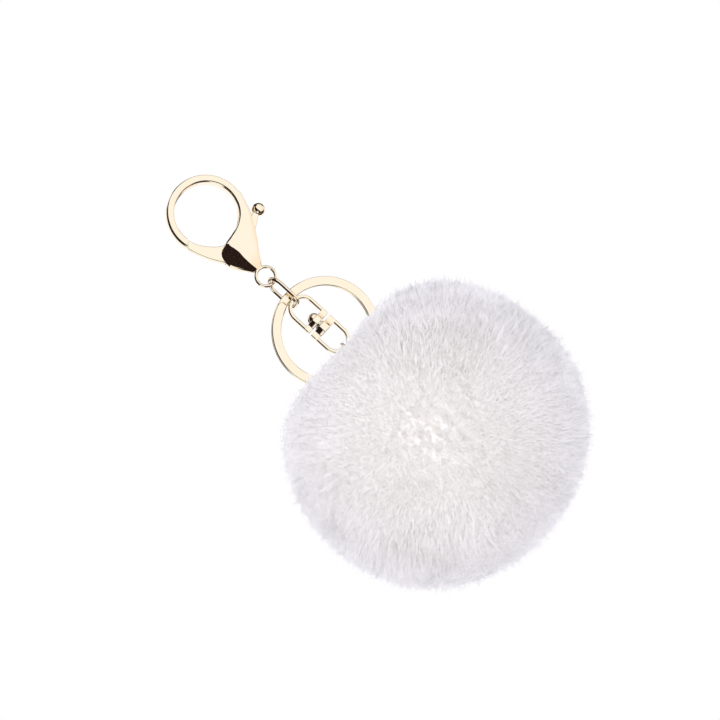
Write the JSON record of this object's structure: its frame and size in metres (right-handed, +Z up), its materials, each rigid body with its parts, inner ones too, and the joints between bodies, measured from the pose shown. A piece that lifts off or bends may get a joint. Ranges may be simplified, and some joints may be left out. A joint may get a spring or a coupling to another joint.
{
  "type": "plush keychain",
  "caption": "Fluffy fur ball on a swivel with a split key ring, hung from a trigger clasp that closes with a sprung gate.",
  "frame": {"origin": "centre of the clasp's hook opening", "axes": "+Z up along the hanging keychain, from the fur ball to the hook; +X towards the gate's thumb knob; +Y through the hook opening, towards the back"},
  "size_m": [0.08, 0.08, 0.1328],
  "materials": {
    "plated_gold": "polished, pale champagne gold plating",
    "steel": "bright wire and washers",
    "backing_cloth": "woven backing of the fur",
    "thread": "waxed sewing thread",
    "stuffing": "packed polyester fibre",
    "fur": "soft long pile, white with a lilac cast"
  },
  "bodies": {
    "clasp": {"clasp_body": "plated_gold", "gate_pin": "steel", "gate_spring": "steel"},
    "gate": {"clasp_gate": "plated_gold"},
    "link": {"chain_link": "plated_gold"},
    "key_ring": {"split_ring": "plated_gold"},
    "swivel_top": {"swivel_upper_bow": "plated_gold"},
    "swivel_foot": {"swivel_lower_bow": "plated_gold", "swivel_rivet": "plated_gold", "swivel_washer": "steel"},
    "jump_ring": {"jump_ring": "plated_gold"},
    "fur_ball": {"eye_pin": "steel", "cap_washer": "steel", "base_washer": "steel", "pelt_backing": "backing_cloth", "stuffing_core": "stuffing", "gathering_thread": "thread", "fur_pile": "fur"}
  },
  "joints": [
    {"name": "gate_swing", "type": "hinge", "parent": "clasp", "child": "gate", "pos_m": [-0.0015, 0, -0.012], "axis": [0, 1, 0], "range_deg": [0, 22], "stiffness_Nm_per_rad": 0.013, "springref_deg": -21.77},
    {"name": "link_swing", "type": "hinge", "parent": "clasp", "child": "link", "pos_m": [-0.0014, 0, -0.02532], "axis": [1, 0, 0], "range_deg": [-45, 45]},
    {"name": "ring_swing", "type": "hinge", "parent": "link", "child": "key_ring", "pos_m": [-0.0014, 0.0015, -0.0337], "axis": [0, 0.9903, 0.1392], "range_deg": [-30, 30]},
    {"name": "swivel_swing", "type": "hinge", "parent": "link", "child": "swivel_top", "pos_m": [-0.0014, -0.0009, -0.0337], "axis": [0, 1, 0], "range_deg": [-30, 30]},
    {"name": "swivel_spin", "type": "hinge", "parent": "swivel_top", "child": "swivel_foot", "pos_m": [-0.0014, -0.0009, -0.0417], "axis": [0, 0, 1], "continuous": true},
    {"name": "jump_ring_swing", "type": "hinge", "parent": "swivel_foot", "child": "jump_ring", "pos_m": [-0.0014, -0.0009, -0.0509], "axis": [1, 0, 0], "range_deg": [-10, 10]},
    {"name": "ball_swing", "type": "hinge", "parent": "jump_ring", "child": "fur_ball", "pos_m": [-0.0014, -0.0009, -0.0543], "axis": [0, 1, 0], "range_deg": [-10, 10]}
  ]
}
